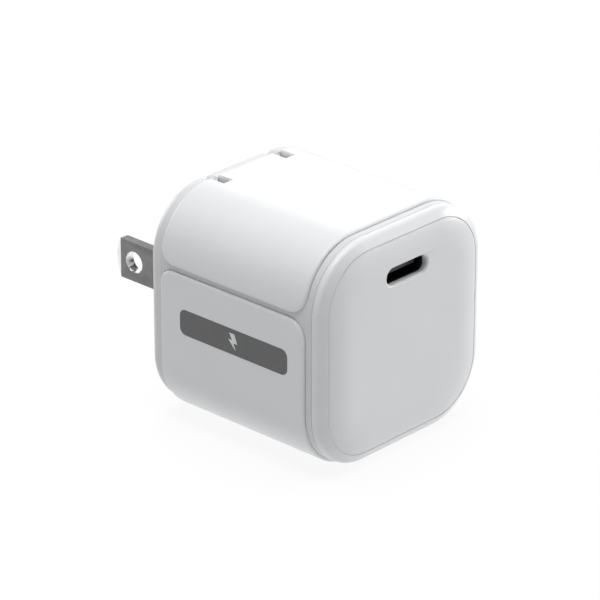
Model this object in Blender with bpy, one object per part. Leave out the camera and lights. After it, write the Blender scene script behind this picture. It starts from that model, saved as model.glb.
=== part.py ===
"""Compact USB-C wall charger with folding flat blades: casing, plug mechanism and electronics.

Run with: blender --background --python part.py
Lengths in this file are millimetres, and every mesh is scaled to Blender's metres when it is made.
+Z is up, the face with the USB-C socket looks along -Y, and the unfolded blades point along +Y.
Places are (x, depth, z): depth runs backwards from the front seam, where the panel meets the bezel,
and z runs up from the surface that the charger stands on. The root empty then carries everything to
the part's own origin, the centre of the rear face between the blades.
"""

import math

import bmesh
import bpy
from mathutils import Matrix, Vector

MM = 0.001
FIT = 0.12  # gap between two pieces that sit against each other

# Casing
BODY_WIDTH = 34.6
BODY_HEIGHT = 34.6
BODY_DEPTH = 33.0
MID_Z = BODY_HEIGHT / 2
CORNER_RADIUS = 9.9
CORNER_STEPS = 8
DOME_RISE = 0.7
DOME_WIDTH = 4.6
PANEL_INSET = 2.0
PANEL_THICKNESS = 1.6
BEZEL_DEPTH = 1.75
BEZEL_INSET = 0.5
FRAME_INSET = 0.45
WALL_INSET = 2.4
SPIGOT_WALL = 0.9
SKIN_FRONT = 2.83
SKIN_REAR = 30.3
SKIN_THICKNESS = 1.0
SKIN_CORNER = 2.5
GROOVE_LOW = 24.1
GROOVE_HIGH = 24.95
REAR_FILLET = 1.7
REAR_WALL = 1.5

# Plug
BLADE_SPACING = 12.7
BLADE_THICKNESS = 1.5
BLADE_WIDTH = 6.1
BLADE_EXPOSED = 16.7
BLADE_Z = 16.75
BLADE_HOLE_RADIUS = 1.65
BLADE_HOLE_REACH = 12.8
TIP_BEVEL_REACH = 1.15
TIP_BEVEL_DROP = 0.4
AXIS_RECESS = 1.7
AXIS_DROP = 1.5
AXIS_DEPTH = BODY_DEPTH - AXIS_RECESS
AXIS_Z = BLADE_Z - AXIS_DROP
BARREL_RADIUS = 1.6
BAR_RADIUS = 0.95
SLOT_WIDTH = 1.9
SLOT_DEPTH = 6.65
NOTCH_DEPTH = 5.65
JOURNAL_RADIUS = 1.0
TAIL_REACH = 4.0

# USB-C socket
SOCKET_Z = 27.43
MOUTH_WIDTH = 8.34
MOUTH_HEIGHT = 2.56
SOCKET_WIDTH = 8.94
SOCKET_HEIGHT = 3.16
SOCKET_SETBACK = 0.35
SOCKET_LENGTH = 7.2

# Circuit boards
BOARD_Z = (6.0, 7.0)
USB_BOARD_DEPTH = (7.8, 8.6)


# ---------------------------------------------------------------- tools


def clear_scene():
    for old in list(bpy.data.objects):
        bpy.data.objects.remove(old)


def make_empty(name, place, parent=None):
    empty = bpy.data.objects.new(name, None)
    empty.location = Vector(place) * MM
    empty.parent = parent
    bpy.context.collection.objects.link(empty)
    return empty


def paint(name, color, roughness, metallic=0.0):
    """The named material, made the first time that it is asked for."""
    found = bpy.data.materials.get(name)
    if found:
        return found
    made = bpy.data.materials.new(name)
    made.use_nodes = True
    shader = made.node_tree.nodes["Principled BSDF"]
    shader.inputs["Base Color"].default_value = (*color, 1.0)
    shader.inputs["Roughness"].default_value = roughness
    shader.inputs["Metallic"].default_value = metallic
    made.diffuse_color = (*color, 1.0)
    return made


def loft(rings, wrap=False):
    """A mesh through rings of equally many points: capped at both ends, or joined last to first."""
    mesh = bmesh.new()
    loops = [[mesh.verts.new(point) for point in ring] for ring in rings]
    followers = loops[1:] + loops[:1] if wrap else loops[1:]
    for near, far in zip(loops, followers):
        for k in range(len(near)):
            after = (k + 1) % len(near)
            mesh.faces.new((near[k], near[after], far[after], far[k]))
    if not wrap:
        mesh.faces.new(loops[0])
        mesh.faces.new(loops[-1])
    return mesh


def add(name, mesh, material=None, place=(0, 0, 0), parent=None):
    """Makes the object. With no material it is a hidden helper for a Boolean."""
    bmesh.ops.recalc_face_normals(mesh, faces=mesh.faces)
    mesh.transform(Matrix.Scale(MM, 4))
    data = bpy.data.meshes.new(name)
    mesh.to_mesh(data)
    mesh.free()
    piece = bpy.data.objects.new(name, data)
    piece.location = Vector(place) * MM
    piece.parent = parent or charger
    bpy.context.collection.objects.link(piece)
    if material is None:
        piece.hide_render = True
        piece.display_type = "WIRE"
    else:
        data.materials.append(material)
        data.shade_smooth()
        data.set_sharp_from_angle(angle=math.radians(35))
    return piece


def bevel(piece, width, segments=1):
    rounding = piece.modifiers.new("edges", "BEVEL")
    rounding.width = width * MM
    rounding.segments = segments
    rounding.limit_method = "ANGLE"


def boolean(piece, operation, *others):
    for other in others:
        step = piece.modifiers.new(other.name, "BOOLEAN")
        step.operation = operation
        step.object = other
        step.solver = "EXACT"


def cut(piece, *cutters):
    boolean(piece, "DIFFERENCE", *cutters)


def join(piece, *helpers):
    boolean(piece, "UNION", *helpers)


def axis_point(axis, along, u, v):
    return {"X": (along, u, v), "Y": (u, along, v), "Z": (u, v, along)}[axis]


def rounded_outline(width, height, radius, steps=CORNER_STEPS):
    """Points round a rectangle with round corners, about its own centre."""
    points = []
    for quarter, (side, level) in enumerate(((1, 1), (-1, 1), (-1, -1), (1, -1))):
        for k in range(steps + 1):
            angle = math.pi / 2 * (quarter + k / steps)
            u = side * (width / 2 - radius) + radius * math.cos(angle)
            v = level * (height / 2 - radius) + radius * math.sin(angle)
            points.append((u, v))
    return points


def body_ring(inset, depth):
    """The charger's rounded-square section, drawn in by inset, at a depth."""
    radius = max(CORNER_RADIUS - inset, 2.0)
    outline = rounded_outline(BODY_WIDTH - 2 * inset, BODY_HEIGHT - 2 * inset, radius)
    return [(u, depth, MID_Z + v) for u, v in outline]


def block(name, x, depth, z, material=None, parent=None):
    """A box from its three ranges."""
    centre = [sum(span) / 2 for span in (x, depth, z)]
    size = [span[1] - span[0] for span in (x, depth, z)]
    mesh = bmesh.new()
    bmesh.ops.create_cube(mesh, size=1.0)
    bmesh.ops.scale(mesh, vec=size, verts=mesh.verts)
    return add(name, mesh, material, centre, parent)


def prism(name, outline, axis, span, material=None, place=(0, 0, 0), parent=None):
    """An outline of (u, v) points extruded along an axis."""
    rings = [[axis_point(axis, along, u, v) for u, v in outline] for along in span]
    return add(name, loft(rings), material, place, parent)


def turned(name, profile, axis, place, material=None, steps=16, hollow=False, parent=None):
    """A turned shape from (along, radius) points. A hollow one's profile is a closed loop."""
    rings = []
    for along, radius in profile:
        angles = [2 * math.pi * k / steps for k in range(steps)]
        rings.append([axis_point(axis, along, radius * math.cos(a), radius * math.sin(a)) for a in angles])
    return add(name, loft(rings, wrap=hollow), material, place, parent)


# ---------------------------------------------------------------- casing


def stadium_cutter(name, width, height, depth, place):
    outline = rounded_outline(width, height, height / 2)
    return prism(name, outline, "Y", depth, place=place)


def skin_window(name, z, grow):
    """A prism across the charger whose outline, seen from the side, is one skin's."""
    span = SKIN_REAR - SKIN_FRONT + 2 * grow
    height = z[1] - z[0] + 2 * grow
    outline = rounded_outline(span, height, SKIN_CORNER + grow, steps=5)
    place = (0, (SKIN_FRONT + SKIN_REAR) / 2, (z[0] + z[1]) / 2)
    return prism(name, outline, "X", (-BODY_WIDTH, BODY_WIDTH), place=place)


UPPER_SKIN_Z = (GROOVE_HIGH, BODY_HEIGHT + 10)
LOWER_SKIN_Z = (-10, GROOVE_LOW)
SIDES = {"left": -1, "right": 1}


def notch_cutter(name, side, depth, z, width=SLOT_WIDTH):
    middle = side * BLADE_SPACING / 2
    return block(name, (middle - width / 2, middle + width / 2), depth, z)


def make_front_panel():
    edge = PANEL_INSET + FIT
    rings = [body_ring(edge, PANEL_THICKNESS), body_ring(edge, 0)]
    for share in (0.12, 0.3, 0.55, 1.0):
        rise = DOME_RISE * (1 - (1 - share) ** 2.2)
        rings.append(body_ring(edge + share * DOME_WIDTH, -rise))
    panel = add("front_panel", loft(rings), WHITE)
    place = (0, 0, SOCKET_Z)
    recess = (SOCKET_SETBACK - 0.1, 5)
    cut(panel, stadium_cutter("socket_mouth", MOUTH_WIDTH, MOUTH_HEIGHT, (-5, 5), place))
    cut(panel, stadium_cutter("socket_recess", SOCKET_WIDTH + 0.2, SOCKET_HEIGHT + 0.2, recess, place))


def make_front_bezel():
    back = BEZEL_DEPTH - FIT / 2
    ledge = PANEL_THICKNESS + FIT
    spigot = WALL_INSET + FIT
    outer = [(PANEL_INSET, 0), (0.95, 0.56), (0.62, 0.9), (BEZEL_INSET, 1.3), (BEZEL_INSET, back)]
    inner = [(spigot, back), (spigot, 4.6), (spigot + SPIGOT_WALL, 4.6), (spigot + SPIGOT_WALL, ledge)]
    profile = outer + inner + [(PANEL_INSET, ledge)]
    add("front_bezel", loft([body_ring(*point) for point in profile], wrap=True), WHITE)


def make_main_sleeve():
    front = BEZEL_DEPTH + FIT / 2
    rear = SKIN_REAR - FIT / 2
    profile = [
        (BEZEL_INSET, front),
        (FRAME_INSET, SKIN_FRONT),
        (FRAME_INSET, rear),
        (WALL_INSET, rear),
        (WALL_INSET, front),
    ]
    sleeve = add("main_sleeve", loft([body_ring(*point) for point in profile], wrap=True), WHITE_FRAME)
    for name, z in (("upper", UPPER_SKIN_Z), ("lower", LOWER_SKIN_Z)):
        bed_inset = SKIN_THICKNESS + FIT
        shell = [body_ring(-3, SKIN_FRONT - 1), body_ring(-3, SKIN_REAR + 2)]
        shell += [body_ring(bed_inset, SKIN_REAR + 2), body_ring(bed_inset, SKIN_FRONT - 1)]
        bed = add(f"{name}_skin_bed", loft(shell, wrap=True))
        boolean(bed, "INTERSECT", skin_window(f"{name}_skin_bed_window", z, FIT))
        cut(sleeve, bed)
    slot_front = BODY_DEPTH - SLOT_DEPTH
    for label, side in SIDES.items():
        cut(sleeve, notch_cutter(f"{label}_sleeve_notch", side, (slot_front, BODY_DEPTH), (28, 40)))
        rail = sorted((side * 11.4, side * 13.9))
        join(sleeve, block(f"{label}_rail", rail, (9, 25), (4.9, BOARD_Z[0] - FIT)))


def make_skin(name, z):
    ring = [body_ring(0, SKIN_FRONT - 1), body_ring(0, SKIN_REAR + 1)]
    ring += [body_ring(SKIN_THICKNESS, SKIN_REAR + 1), body_ring(SKIN_THICKNESS, SKIN_FRONT - 1)]
    skin = add(name, loft(ring, wrap=True), WHITE)
    boolean(skin, "INTERSECT", skin_window(f"{name}_window", z, 0))
    return skin


def make_skins():
    upper = make_skin("upper_skin", UPPER_SKIN_Z)
    make_skin("lower_skin", LOWER_SKIN_Z)
    for label, side in SIDES.items():
        span = (BODY_DEPTH - NOTCH_DEPTH, BODY_DEPTH)
        cut(upper, notch_cutter(f"{label}_skin_notch", side, span, (28, 40)))


def make_rear_cover():
    front = SKIN_REAR + FIT / 2
    inner_face = BODY_DEPTH - REAR_WALL
    spigot = WALL_INSET + FIT
    lip = SKIN_REAR - 2.7
    profile = [(spigot + SPIGOT_WALL, inner_face), (spigot + SPIGOT_WALL, lip), (spigot, lip)]
    profile += [(spigot, front), (FRAME_INSET, front)]
    for k in range(5):
        angle = math.pi / 2 * k / 4
        inset = FRAME_INSET + REAR_FILLET * (1 - math.cos(angle))
        profile.append((inset, BODY_DEPTH - REAR_FILLET * (1 - math.sin(angle))))
    cover = add("rear_cover", loft([body_ring(*point) for point in profile]), WHITE_FRAME)

    pocket_front = BODY_DEPTH - SLOT_DEPTH - 0.85
    for label, side in SIDES.items():
        middle = side * BLADE_SPACING / 2
        pocket = (middle - SLOT_WIDTH / 2 - 0.8, middle + SLOT_WIDTH / 2 + 0.8)
        join(cover, block(f"{label}_pocket", pocket, (pocket_front, inner_face + 0.4), (AXIS_Z + 2.1, 31.5)))
        bearing = sorted((side * 9.7, side * 14.2))
        join(cover, block(f"{label}_bearing", bearing, (28.2, inner_face + 0.4), (AXIS_Z - 2.2, AXIS_Z + 2.2)))
    boss_front = AXIS_DEPTH - BAR_RADIUS + 0.05
    join(cover, block("detent_boss", (-2.6, 2.6), (boss_front, inner_face + 0.4), (AXIS_Z + 2.1, AXIS_Z + 4.8)))
    stake_span = (boss_front - 0.8, boss_front + 0.5)
    stake = turned("detent_stake", [(y, 0.5) for y in stake_span], "Y", (0, 0, AXIS_Z + 3.5), steps=12)
    join(cover, stake)

    for label, side in SIDES.items():
        span = (BODY_DEPTH - SLOT_DEPTH, BODY_DEPTH + 1)
        cut(cover, notch_cutter(f"{label}_blade_slot", side, span, (AXIS_Z - 1.8, 40)))
        journal = sorted((side * 9.5, side * 11.2))
        radius = JOURNAL_RADIUS + 0.1
        saddle = turned(f"{label}_saddle", [(x, radius) for x in journal], "X", (0, AXIS_DEPTH, AXIS_Z))
        cut(cover, saddle)
        cut(cover, block(f"{label}_saddle_mouth", journal, (27, AXIS_DEPTH), (AXIS_Z - radius, AXIS_Z + radius)))
        screw_hole = turned(
            f"{label}_screw_hole", ((27, 0.7), (30.8, 0.7)), "Y", (side * 12.6, 0, AXIS_Z), steps=12
        )
        cut(cover, screw_hole)
        hub = sorted((side * 3.9, side * 9.55))
        high = (AXIS_Z - BARREL_RADIUS - 0.2, AXIS_Z + BARREL_RADIUS + 0.2)
        cut(cover, block(f"{label}_hub_window", hub, (inner_face - 0.6, BODY_DEPTH + 1), high))
        tail_low = AXIS_Z - TAIL_REACH - 0.4
        tail_depth = (inner_face - 1, inner_face + 0.65)
        cut(cover, notch_cutter(f"{label}_tail_pocket", side, tail_depth, (tail_low, AXIS_Z - 1.5), width=2.3))
    clear = BAR_RADIUS + 0.15
    bar_depth = (inner_face - 1, AXIS_DEPTH + clear)
    cut(cover, block("bar_channel", (-5, 5), bar_depth, (AXIS_Z - clear, AXIS_Z + clear)))


# ---------------------------------------------------------------- plug


def blade_outline(reach):
    """The blade seen from the side, as (along, up) from the hinge axis, cut off at a reach."""
    low = AXIS_DROP - BLADE_WIDTH / 2
    high = AXIS_DROP + BLADE_WIDTH / 2
    tip = AXIS_RECESS + BLADE_EXPOSED
    corner = 0.6
    arc_drop = 0.3
    points = [(0.6, low), (tip - corner - arc_drop, low)]
    for k in range(9):
        share = k / 8 * 2 - 1
        half = BLADE_WIDTH / 2 - corner * (1 - math.cos(math.pi / 2 * share)) * 0.4
        points.append((tip - arc_drop * share**2 - corner * share**8 * 0.3, AXIS_DROP + share * half * 0.94))
    points += [(tip - corner - arc_drop, high), (0.6, high), (0.2, 1.6), (-1.0, 1.25), (-1.5, 0.9)]
    points += [(-TAIL_REACH, 0.9), (-TAIL_REACH, -0.5), (-1.5, -0.5), (-1.0, -1.25)]
    return [(min(along, reach), up) for along, up in points]


def make_blades(pivot):
    half = BLADE_THICKNESS / 2
    core = half - TIP_BEVEL_DROP
    tip = AXIS_RECESS + BLADE_EXPOSED
    levels = ((-half, tip - TIP_BEVEL_REACH), (-core, tip), (core, tip), (half, tip - TIP_BEVEL_REACH))
    for label, side in SIDES.items():
        place = (side * BLADE_SPACING / 2, 0, 0)
        rings = [[(x, along, up) for along, up in blade_outline(reach)] for x, reach in levels]
        blade = add(f"{label}_blade", loft(rings), BRASS, place, pivot)
        hole_at = AXIS_RECESS + BLADE_HOLE_REACH
        span = ((-2, BLADE_HOLE_RADIUS), (2, BLADE_HOLE_RADIUS))
        hole_place = (place[0], hole_at, AXIS_DROP)
        hole = turned(f"{label}_blade_hole", span, "X", hole_place, steps=24, parent=pivot)
        root_hole = turned(f"{label}_root_hole", ((-2, 0.97), (2, 0.97)), "X", place, parent=pivot)
        cut(blade, hole, root_hole)
        bevel(blade, 0.15)


def make_carrier(pivot):
    neck = (BLADE_SPACING / 2 - 0.9, BLADE_SPACING / 2 + 0.9)
    half = [(0.01, BAR_RADIUS), (4.1, BAR_RADIUS), (4.1, BARREL_RADIUS), (neck[0], BARREL_RADIUS)]
    half += [(neck[0], 0.85), (neck[1], 0.85)]
    half += [(neck[1], BARREL_RADIUS), (9.4, BARREL_RADIUS), (9.4, JOURNAL_RADIUS), (11.0, JOURNAL_RADIUS)]
    profile = [(-x, radius) for x, radius in reversed(half)] + half
    carrier = turned("blade_carrier", profile, "X", (0, 0, 0), GREY_PLASTIC, steps=24, parent=pivot)
    flat = 0.7
    reach = 2.9
    cut(carrier, block("inner_flat", (-reach, reach), (-4, -flat), (-4, 4), parent=pivot))
    cut(carrier, block("upper_flat", (-reach, reach), (-4, 4), (flat, 4), parent=pivot))


def make_bearing_caps():
    for label, side in SIDES.items():
        span = sorted((side * 9.8, side * 13.4))
        cap = block(f"{label}_bearing_cap", span, (27.0, 28.08), (AXIS_Z - 2.0, AXIS_Z + 2.0), GREY_PLASTIC)
        tab = sorted((side * 9.9, side * 11.05))
        tab_end = AXIS_DEPTH - JOURNAL_RADIUS - FIT
        join(cap, block(f"{label}_cap_tab", tab, (28.0, tab_end), (AXIS_Z - 0.95, AXIS_Z + 0.95)))
        hole_place = (side * 12.6, 0, AXIS_Z)
        cut(cap, turned(f"{label}_cap_hole", ((26, 0.75), (29, 0.75)), "Y", hole_place, steps=12))
        head = [(26.0, 0.95), (26.25, 1.3), (26.9, 1.3), (26.9, 0.6), (30.1, 0.6), (30.5, 0.3)]
        turned(f"{label}_cap_screw", head, "Y", hole_place, STEEL, steps=12)


def make_springs():
    leaf_rear = AXIS_DEPTH - BAR_RADIUS - 0.08
    leaf = block(
        "detent_spring", (-2.4, 2.4), (leaf_rear - 0.25, leaf_rear), (AXIS_Z - 1.8, AXIS_Z + 4.7), STEEL
    )
    cut(leaf, turned("leaf_hole", ((28, 0.62), (31, 0.62)), "Y", (0, 0, AXIS_Z + 3.5), steps=12))
    clear = math.hypot(TAIL_REACH, 0.9) + FIT
    face = AXIS_DEPTH - clear
    for label, side in SIDES.items():
        outline = [(face - 0.3, 4.6), (face, 4.6), (face, AXIS_Z - 3.6), (face - 0.45, AXIS_Z - 2.8)]
        outline += [(face - 0.45, AXIS_Z - 1.9), (face, AXIS_Z - 1.1), (face, AXIS_Z - 0.2)]
        outline += [(face - 0.4, AXIS_Z + 0.4), (face - 0.7, AXIS_Z + 0.4), (face - 0.3, AXIS_Z - 0.3)]
        outline += [(face - 0.3, AXIS_Z - 1.0), (face - 0.75, AXIS_Z - 1.8), (face - 0.75, AXIS_Z - 2.9)]
        outline += [(face - 0.3, AXIS_Z - 3.7)]
        place = (side * BLADE_SPACING / 2, 0, 0)
        prism(f"{label}_contact_spring", outline, "X", (-1.3, 1.3), BRONZE, place)


# ---------------------------------------------------------------- electronics


def make_boards():
    board = block("main_board", (-12.2, 12.2), (9.0, 28.6), BOARD_Z, BOARD_GREEN)
    face = AXIS_DEPTH - math.hypot(TAIL_REACH, 0.9) - FIT
    for label, side in SIDES.items():
        cut(board, notch_cutter(f"{label}_board_slot", side, (face - 0.5, face + 0.2), (5, 8), width=3.0))
    outline = rounded_outline(20, 25.5, 5, steps=4)
    place = (0, 0, (6.2 + 31.2) / 2 - 0.2)
    prism("usb_board", outline, "Y", USB_BOARD_DEPTH, BOARD_GREEN, place)
    header = USB_BOARD_DEPTH[1] + FIT
    block("board_header", (-5, 5), (header, header + 1.5), (BOARD_Z[1] + FIT, BOARD_Z[1] + 2.2), BLACK_PLASTIC)


def make_usb_socket():
    front = SOCKET_SETBACK
    rear = front + SOCKET_LENGTH
    wall = 0.3
    outer = rounded_outline(SOCKET_WIDTH, SOCKET_HEIGHT, SOCKET_HEIGHT / 2 - 0.02, steps=6)
    inner_height = SOCKET_HEIGHT - 2 * wall
    inner = rounded_outline(SOCKET_WIDTH - 2 * wall, inner_height, inner_height / 2 - 0.02, steps=6)
    order = ((outer, front), (outer, rear), (inner, rear), (inner, front))
    rings = [[(u, depth, v) for u, v in outline] for outline, depth in order]
    add("usb_shell", loft(rings, wrap=True), DARK_METAL, (0, 0, SOCKET_Z))
    base_size = (SOCKET_WIDTH - 2 * wall - 2 * FIT, inner_height - 2 * FIT)
    base = rounded_outline(*base_size, base_size[1] / 2 - 0.02, steps=6)
    tongue = prism("usb_tongue", base, "Y", (rear - 1.6, rear), BLACK_PLASTIC, (0, 0, SOCKET_Z))
    blade = block("tongue_plate", (-3.35, 3.35), (front + 0.7, rear - 1), (SOCKET_Z - 0.35, SOCKET_Z + 0.35))
    join(tongue, blade)


def make_transformer():
    x, depth, low = -5.4, 16.0, BOARD_Z[1] + 0.3
    half_height = 9.6
    middle = low + half_height
    channel = ((-20, 3.0), (20, 3.0), (20, 6.1), (-20, 6.1))
    for name, bottom in (("transformer_core_lower", low), ("transformer_core_upper", middle + FIT)):
        top = bottom + half_height - FIT
        core = block(name, (x - 7.2, x + 7.2), (depth - 5.6, depth + 5.6), (bottom, top), FERRITE)
        floor = 2.2
        span = (bottom + floor, top + 1) if name.endswith("lower") else (bottom - 1, top - floor)
        loop = [(along, radius) for along, (_, radius) in zip((span[0], span[1], span[1], span[0]), channel)]
        ring = turned(f"{name}_channel", loop, "Z", (x, depth, 0), steps=20, hollow=True)
        cut(core, ring)
    low_face = low + 2.2 + FIT
    high_face = low + 2 * half_height - 2.2 - 2 * FIT
    bore = 3.0 + FIT
    spool = [(low_face, bore), (low_face, 5.9), (low_face + 0.8, 5.9), (low_face + 0.8, 3.6)]
    spool += [(high_face - 0.8, 3.6), (high_face - 0.8, 5.9), (high_face, 5.9), (high_face, bore)]
    turned("transformer_bobbin", spool, "Z", (x, depth, 0), BLACK_PLASTIC, steps=20, hollow=True)
    wire_low = low_face + 0.8 + FIT
    wire_high = high_face - 0.8 - FIT
    coil = [(wire_low, 3.6 + FIT), (wire_low, 5.6), (wire_high, 5.6), (wire_high, 3.6 + FIT)]
    turned("transformer_winding", coil, "Z", (x, depth, 0), COPPER, steps=20, hollow=True)
    loops = []
    for grow, z in ((0.15, -1.5), (0.15, 1.5), (0.35, 1.5), (0.35, -1.5)):
        size = (14.4 + 2 * grow, 11.2 + 2 * grow)
        loops.append([(u, v, z) for u, v in rounded_outline(*size, 0.3, steps=2)])
    add("transformer_tape", loft(loops, wrap=True), YELLOW_TAPE, (x, depth, middle))
    pad_low = low + 2 * half_height + FIT
    block("thermal_pad", (x - 3, x + 6.6), (depth - 5, depth + 5), (pad_low, 30.9), PAD_GREY)


def make_can(name, place, axis, radius, length, material):
    """An aluminium can capacitor with its crimped groove near the seal."""
    sign = 1 if length > 0 else -1
    profile = [(0, radius - 0.3), (0.4 * sign, radius), (1.4 * sign, radius), (1.7 * sign, radius - 0.3)]
    profile += [(2.0 * sign, radius), (length - 0.3 * sign, radius), (length, radius - 0.3)]
    return turned(name, profile, axis, place, material, steps=20)


def make_capacitors():
    base = BOARD_Z[1] + FIT
    make_can("bulk_capacitor_front", (9.0, 12.85, base), "Z", 3.95, 19.5, CAN_BLACK)
    make_can("bulk_capacitor_rear", (9.0, 21.0, base), "Z", 3.95, 19.5, CAN_BLACK)
    board_face = USB_BOARD_DEPTH[0] - FIT
    for label, side in SIDES.items():
        place = (side * 4.2, board_face, 13.5)
        make_can(f"output_capacitor_{label}", place, "Y", 3.1, -5.4, CAN_SILVER)
    box = block("x_capacitor", (-2.8, 4.1), (22.2, 26.1), (base, base + 9), YELLOW_TAPE)
    bevel(box, 0.4)
    disc = [(-1.0, 2.6), (-0.6, 3.4), (0.6, 3.4), (1.0, 2.6)]
    turned("y_capacitor", disc, "X", (3.35, 14.6, base + 3.8), BLUE_EPOXY)


def make_input_parts():
    base = BOARD_Z[1] + FIT
    ends = [(-3.9, 1.6), (-2.9, 1.6), (-2.9, 1.4)]
    profile = ends + [(-along, radius) for along, radius in reversed(ends)]
    turned("fuse", profile, "X", (0, 27.85, base + 1.65), CERAMIC)
    disc = [(-1.1, 2.0), (-0.8, 2.5), (0.8, 2.5), (1.1, 2.0)]
    turned("varistor", disc, "X", (11.0, 27.6, base + 2.6), BLUE_EPOXY)
    small = [(along, radius - 1.05) for along, radius in disc]
    turned("inrush_thermistor", small, "X", (-11.0, 27.6, base + 1.6), GREEN_EPOXY)
    place = (-8.3, 24.0, base + 5.0)
    core = [(-1.3, 2.3), (1.3, 2.3), (1.3, 4.2), (-1.3, 4.2)]
    turned("choke_core", core, "Y", place, FERRITE, steps=24, hollow=True)
    for label, start in (("upper", 30), ("lower", 210)):
        make_choke_winding(f"choke_winding_{label}", place, math.radians(start), math.radians(120))


def make_choke_winding(name, place, start, sweep):
    """A winding wrapped over part of the choke's ring: a hollow section swept through an arc."""
    wire = 0.45
    inner = (2.3 - FIT, 4.2 + FIT, 1.3 + FIT)
    outer = (inner[0] - wire, inner[1] + wire, inner[2] + wire)
    mesh = bmesh.new()
    steps = 8
    sections = []
    for k in range(steps + 1):
        angle = start + sweep * k / steps
        loops = []
        for near, far, half in (outer, inner):
            corners = ((near, -half), (far, -half), (far, half), (near, half))
            loops.append([mesh.verts.new((r * math.cos(angle), y, r * math.sin(angle))) for r, y in corners])
        sections.append(loops)
    for (outer_a, inner_a), (outer_b, inner_b) in zip(sections, sections[1:]):
        for k in range(4):
            after = (k + 1) % 4
            mesh.faces.new((outer_a[k], outer_a[after], outer_b[after], outer_b[k]))
            mesh.faces.new((inner_a[k], inner_b[k], inner_b[after], inner_a[after]))
    for outer_loop, inner_loop in (sections[0], sections[-1]):
        for k in range(4):
            after = (k + 1) % 4
            mesh.faces.new((outer_loop[k], outer_loop[after], inner_loop[after], inner_loop[k]))
    add(name, mesh, COPPER, place)


def make_chips():
    under = BOARD_Z[0] - FIT
    block("bridge_rectifier", (-3, 3), (22, 27), (under - 1.5, under), BLACK_PLASTIC)
    block("power_switch_chip", (-8, 0), (12.5, 18.5), (under - 0.9, under), BLACK_PLASTIC)
    block("optocoupler", (3, 7.5), (11, 14.5), (under - 2.0, under), BLACK_PLASTIC)
    rear = USB_BOARD_DEPTH[1] + FIT
    block("pd_controller_chip", (-6.0, -2.0), (rear, rear + 0.8), (22.0, 26.0), BLACK_PLASTIC)
    front = USB_BOARD_DEPTH[0] - FIT
    block("rectifier_transistor", (-2.6, 2.6), (front - 1.0, front), (18.3, 23.5), BLACK_PLASTIC)


def make_heat_path():
    inset = WALL_INSET + 0.4
    span = (10.0, 24.6)
    loops = [body_ring(inset, span[0]), body_ring(inset, span[1])]
    loops += [body_ring(inset + 0.45, span[1]), body_ring(inset + 0.45, span[0])]
    spreader = add("heat_spreader", loft(loops, wrap=True), ALUMINIUM)
    cut(spreader, block("spreader_opening", (-30, 30), (5, 30), (-10, 13)))
    block("insulation_sheet", (-7, 7), (6.0, 27.0), (WALL_INSET + 0.15, WALL_INSET + 0.35), SHEET_BLACK)


# ---------------------------------------------------------------- assembly

clear_scene()

WHITE = paint("white_gloss_plastic", (0.86, 0.87, 0.88), 0.25)
WHITE_FRAME = paint("white_frame_plastic", (0.84, 0.85, 0.86), 0.3)
GREY_PLASTIC = paint("carrier_plastic", (0.80, 0.81, 0.82), 0.35)
BRASS = paint("nickel_plated_brass", (0.55, 0.56, 0.55), 0.3, 1.0)
BRONZE = paint("phosphor_bronze", (0.72, 0.45, 0.25), 0.35, 1.0)
STEEL = paint("spring_steel", (0.60, 0.61, 0.62), 0.3, 1.0)
DARK_METAL = paint("dark_socket_metal", (0.05, 0.05, 0.055), 0.35, 1.0)
BLACK_PLASTIC = paint("black_plastic", (0.02, 0.02, 0.022), 0.45)
BOARD_GREEN = paint("circuit_board", (0.03, 0.20, 0.09), 0.5)
FERRITE = paint("ferrite", (0.06, 0.06, 0.065), 0.7)
COPPER = paint("copper_wire", (0.72, 0.34, 0.16), 0.35, 1.0)
YELLOW_TAPE = paint("yellow_film", (0.85, 0.65, 0.08), 0.5)
PAD_GREY = paint("silicone_pad", (0.45, 0.50, 0.56), 0.8)
CAN_BLACK = paint("capacitor_sleeve", (0.03, 0.03, 0.05), 0.35)
CAN_SILVER = paint("capacitor_can", (0.75, 0.76, 0.77), 0.3, 1.0)
BLUE_EPOXY = paint("blue_epoxy", (0.05, 0.20, 0.60), 0.4)
GREEN_EPOXY = paint("green_epoxy", (0.08, 0.30, 0.12), 0.4)
CERAMIC = paint("fuse_ceramic", (0.80, 0.78, 0.70), 0.5)
ALUMINIUM = paint("spreader_aluminium", (0.70, 0.71, 0.72), 0.35, 1.0)
SHEET_BLACK = paint("insulation_film", (0.03, 0.03, 0.03), 0.6)

charger = make_empty("charger", (0, -BODY_DEPTH, -BLADE_Z))
plug_pivot = make_empty("plug_pivot", (0, AXIS_DEPTH, AXIS_Z), charger)

make_front_panel()
make_front_bezel()
make_main_sleeve()
make_skins()
make_rear_cover()
make_blades(plug_pivot)
make_carrier(plug_pivot)
make_bearing_caps()
make_springs()
make_boards()
make_usb_socket()
make_transformer()
make_capacitors()
make_input_parts()
make_chips()
make_heat_path()
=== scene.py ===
"""Looks for the compact USB-C wall charger: fine casing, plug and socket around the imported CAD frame.

Lengths are millimetres and become metres when a mesh is made. Places are (x, depth, z): depth runs
backwards from the seam of the front panel, and z runs up from the surface that the charger stands on.
"""

import math

import bmesh
import bpy
from mathutils import Matrix, Vector


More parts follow.
